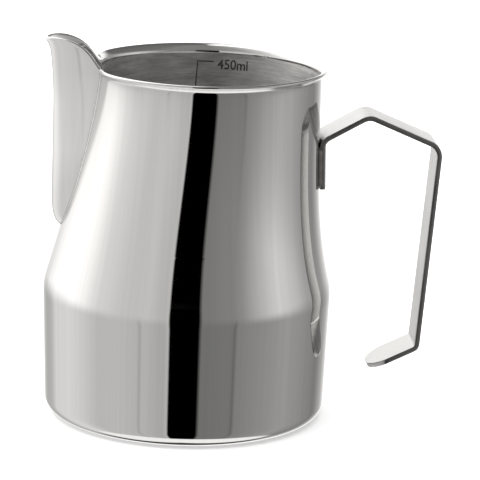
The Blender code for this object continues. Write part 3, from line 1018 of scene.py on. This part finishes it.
def make_floor():
    """Pale paper that the camera sees but the metal does not; the studio's rings stand in for it."""
    shape = bmesh.new()
    bmesh.ops.create_circle(shape, cap_ends=True, segments=FLOOR_SIDES, radius=FLOOR_RADIUS)
    mesh = bpy.data.meshes.new("floor")
    shape.to_mesh(mesh)
    shape.free()
    floor = bpy.data.objects.new("floor", mesh)
    floor.location.z = -FLOOR_DROP
    bpy.context.scene.collection.objects.link(floor)
    paper = bpy.data.materials.new("pale_paper")
    paper.use_nodes = True
    shader = paper.node_tree.nodes["Principled BSDF"]
    shader.inputs["Base Color"].default_value = FLOOR_COLOUR
    shader.inputs["Roughness"].default_value = FLOOR_ROUGHNESS
    shader.inputs["Emission Color"].default_value = BACKDROP_COLOUR
    shader.inputs["Emission Strength"].default_value = FLOOR_GLOW
    mesh.materials.append(paper)
    floor.visible_glossy = False


def make_world():
    """The studio round the pitcher as the metal mirrors it; the camera sees a plain white backdrop."""
    world = bpy.data.worlds.new("studio")
    world.use_nodes = True
    bpy.context.scene.world = world
    tree = world.node_tree
    tree.nodes.clear()

    def put(kind, inputs=None, **settings):
        return add_node(tree, kind, inputs, **settings)

    direction = put("ShaderNodeTexCoord").outputs["Generated"]
    turned = put("ShaderNodeVectorRotate", {"Vector": direction, "Angle": -CAMERA_AZIMUTH},
                 rotation_type="Z_AXIS").outputs[0]
    split = put("ShaderNodeSeparateXYZ", {0: turned})
    away = put("ShaderNodeMath", {0: split.outputs["Y"], 1: -1.0}, operation="MULTIPLY").outputs[0]
    azimuth = put("ShaderNodeMath", {0: split.outputs["X"], 1: away}, operation="ARCTAN2").outputs[0]
    share = put("ShaderNodeMapRange", {"Value": azimuth, "From Min": -np.pi, "From Max": np.pi}).outputs[0]

    def ring(stops):
        node = put("ShaderNodeValToRGB", {"Fac": share})
        fill_ramp(node.color_ramp, [((degrees + 180) / 360, value / STUDIO_BRIGHTEST)
                                    for degrees, value in stops])
        return node.outputs[0]

    def fade(elevations, below, above):
        first, last = np.sin(elevations)
        rise = put("ShaderNodeMapRange", {"Value": split.outputs["Z"], "From Min": first, "From Max": last},
                   interpolation_type="SMOOTHSTEP").outputs[0]
        return put("ShaderNodeMix", {0: rise, 2: below, 3: above}, data_type="FLOAT").outputs[0]

    low = fade(GROUND_TO_LOW, ring(STUDIO_GROUND), ring(STUDIO_LOW))
    sides = fade(LOW_TO_HIGH, low, ring(STUDIO_HIGH))
    light = fade(HIGH_TO_TOP, sides, ring(STUDIO_TOP))
    strength = put("ShaderNodeMath", {0: light, 1: STUDIO_BRIGHTEST}, operation="MULTIPLY").outputs[0]
    glow = put("ShaderNodeBackground", {"Color": STUDIO_COLOUR, "Strength": strength})
    plain = put("ShaderNodeBackground", {"Color": BACKDROP_COLOUR, "Strength": 1.0})
    seen = put("ShaderNodeLightPath").outputs["Is Camera Ray"]
    mixed = put("ShaderNodeMixShader", {0: seen, 1: glow.outputs[0], 2: plain.outputs[0]})
    put("ShaderNodeOutputWorld", {"Surface": mixed.outputs[0]})


def fill_ramp(ramp, stops):
    """Give a colour ramp its stops; it starts with two, which become the first and the last."""
    for position, value in stops[1:-1]:
        ramp.elements.new(position).color = (value, value, value, 1.0)
    for element, (_, value) in ((ramp.elements[0], stops[0]), (ramp.elements[-1], stops[-1])):
        element.color = (value, value, value, 1.0)


def make_floor_light():
    """A wide light overhead that only brightens the floor; the metal mirrors the studio instead."""
    data = bpy.data.lights.new("floor_light", "AREA")
    data.energy = FLOOR_LIGHT_POWER
    data.size = FLOOR_LIGHT_SIZE
    light = bpy.data.objects.new("floor_light", data)
    light.location.z = FLOOR_LIGHT_HEIGHT
    light.visible_glossy = False
    bpy.context.scene.collection.objects.link(light)


def make_camera():
    """A long lens in front of the pitcher, turned a little about its own axis."""
    data = bpy.data.cameras.new("camera")
    data.lens = CAMERA_LENS
    data.sensor_width = CAMERA_SENSOR
    camera = bpy.data.objects.new("camera", data)
    bpy.context.scene.collection.objects.link(camera)
    back = Vector((np.sin(CAMERA_AZIMUTH) * np.cos(CAMERA_ELEVATION),
                   -np.cos(CAMERA_AZIMUTH) * np.cos(CAMERA_ELEVATION),
                   np.sin(CAMERA_ELEVATION)))
    level = back.to_track_quat("Z", "Y").to_matrix().to_4x4()
    place = Matrix.Translation(CAMERA_AIM + back * CAMERA_DISTANCE)
    camera.matrix_world = place @ level @ Matrix.Rotation(CAMERA_ROLL, 4, "Z")
    bpy.context.scene.camera = camera


make_floor()
make_world()
make_floor_light()
make_camera()
bpy.context.scene.view_settings.view_transform = "Standard"
